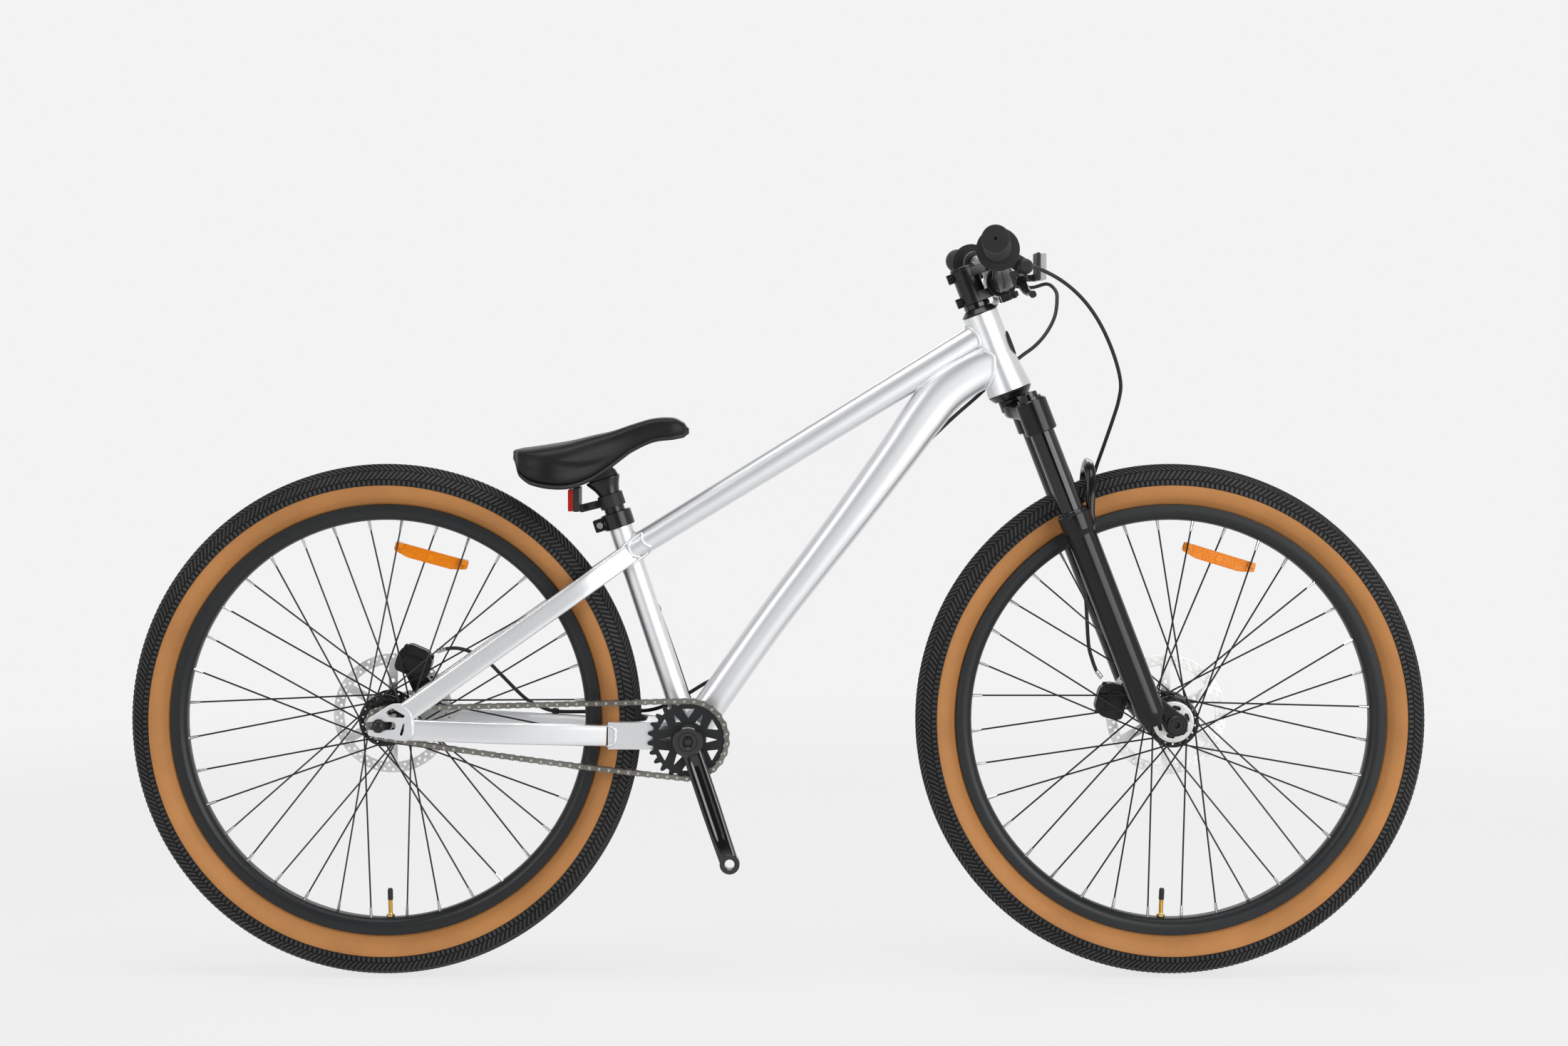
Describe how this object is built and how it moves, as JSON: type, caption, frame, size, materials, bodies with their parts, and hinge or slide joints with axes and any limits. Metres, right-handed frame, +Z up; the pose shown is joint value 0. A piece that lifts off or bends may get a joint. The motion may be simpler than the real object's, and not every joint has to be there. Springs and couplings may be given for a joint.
{
  "type": "dirt jump bike",
  "caption": "Dirt jump bicycle with a low sloping frame, straight rear stays, suspension fork, disc brakes, single-speed chain drive and fat tan-sided tyres.",
  "frame": {"origin": "on the ground, midway between the two axles and in the bicycle's middle plane", "axes": "+X forward, +Y to the rider's left, +Z up"},
  "size_m": [1.71, 0.7652, 0.9752],
  "materials": {
    "bare_alloy": "brushed, clear coated",
    "black_alloy": "painted gloss black",
    "black_steel": "gloss black",
    "black_plastic": "matte",
    "black_rubber": "matte",
    "tyre_rubber": "black tread, tan sides",
    "saddle_cover": "smooth synthetic cover",
    "bare_steel": "satin",
    "chain_steel": "oiled",
    "amber_plastic": "clear amber",
    "red_plastic": "clear red",
    "clear_plastic": "clear"
  },
  "bodies": {
    "frame": {"head_tube": "bare_alloy", "top_tube": "bare_alloy", "down_tube": "bare_alloy", "seat_tube": "bare_alloy", "bottom_bracket_shell": "bare_alloy", "chainstay_right": "bare_alloy", "chainstay_left": "bare_alloy", "seatstay_right": "bare_alloy", "seatstay_left": "bare_alloy", "seat_clamp": "black_alloy", "headset_upper_cup": "black_alloy", "headset_lower_cup": "black_alloy", "bottom_bracket_cup_right": "black_alloy", "bottom_bracket_cup_left": "black_alloy", "rear_axle": "black_steel", "rear_caliper": "black_alloy", "rear_brake_hose": "black_plastic", "chain": "chain_steel"},
    "seat": {"seatpost": "black_alloy", "saddle_base": "black_plastic", "saddle_pad": "saddle_cover", "rear_reflector": "red_plastic"},
    "steering": {"fork_crown": "black_alloy", "stanchion_right": "black_steel", "stanchion_left": "black_steel", "steerer_spacer": "black_alloy", "stem": "black_alloy", "stem_faceplate": "black_alloy", "handlebar": "black_alloy", "grip_right": "black_rubber", "grip_left": "black_rubber", "brake_lever_body_right": "black_plastic", "brake_lever_body_left": "black_plastic", "front_reflector": "clear_plastic"},
    "lever_right": {"brake_lever_right": "black_alloy"},
    "lever_left": {"brake_lever_left": "black_alloy"},
    "fork_slider": {"fork_lowers": "black_alloy", "front_axle": "black_alloy", "front_caliper": "black_alloy", "front_brake_hose": "black_plastic"},
    "front_wheel": {"front_tyre": "tyre_rubber", "front_inner_tube": "black_rubber", "front_rim": "black_alloy", "front_spokes_right": "black_steel", "front_spokes_left": "black_steel", "front_hub": "black_alloy", "front_rotor": "bare_steel", "front_wheel_reflector": "amber_plastic"},
    "rear_wheel": {"rear_tyre": "tyre_rubber", "rear_inner_tube": "black_rubber", "rear_rim": "black_alloy", "rear_spokes_right": "black_steel", "rear_spokes_left": "black_steel", "rear_hub": "black_alloy", "rear_rotor": "bare_steel", "rear_wheel_reflector": "amber_plastic"},
    "cog": {"rear_cog": "bare_steel"},
    "crank": {"chainring": "black_alloy", "crank_arm_right": "black_alloy", "crank_arm_left": "black_alloy"}
  },
  "joints": [
    {"name": "steering_turn", "type": "hinge", "parent": "frame", "child": "steering", "pos_m": [0.30651, 0, 0.77023], "axis": [-0.3595, 0, 0.9331], "range_deg": [-75, 75], "deforming": ["rear_brake_hose"]},
    {"name": "fork_travel", "type": "slide", "parent": "steering", "child": "fork_slider", "axis": [-0.3595, 0, 0.9331], "range_m": [0, 0.1], "stiffness_N_per_m": 6000, "springref_m": -0.03, "deforming": ["front_brake_hose"]},
    {"name": "front_wheel_spin", "type": "hinge", "parent": "fork_slider", "child": "front_wheel", "pos_m": [0.518, 0, 0.337], "axis": [0, 1, 0], "continuous": true},
    {"name": "rear_wheel_spin", "type": "hinge", "parent": "frame", "child": "rear_wheel", "pos_m": [-0.518, 0, 0.337], "axis": [0, 1, 0], "continuous": true},
    {"name": "crank_spin", "type": "hinge", "parent": "frame", "child": "crank", "pos_m": [-0.1173, 0, 0.3154], "axis": [0, 1, 0], "continuous": true},
    {"name": "cog_spin", "type": "hinge", "parent": "frame", "child": "cog", "pos_m": [-0.518, 0, 0.337], "axis": [0, 1, 0], "continuous": true},
    {"name": "brake_lever_right_pull", "type": "hinge", "parent": "steering", "child": "lever_right", "pos_m": [0.30244, -0.218, 0.91012], "axis": [-0.9331, 0, -0.3595], "range_deg": [0, 16], "stiffness_Nm_per_rad": 1.5, "springref_deg": -11.46},
    {"name": "brake_lever_left_pull", "type": "hinge", "parent": "steering", "child": "lever_left", "pos_m": [0.30244, 0.218, 0.91012], "axis": [0.9331, 0, 0.3595], "range_deg": [0, 16], "stiffness_Nm_per_rad": 1.5, "springref_deg": -11.46},
    {"name": "seatpost_slide", "type": "slide", "parent": "frame", "child": "seat", "axis": [-0.3173, 0, 0.9483], "range_m": [0, 0.11]}
  ],
  "couplings": [
    {"joint": "cog_spin", "follows": "crank_spin", "ratio": 2.7778}
  ]
}
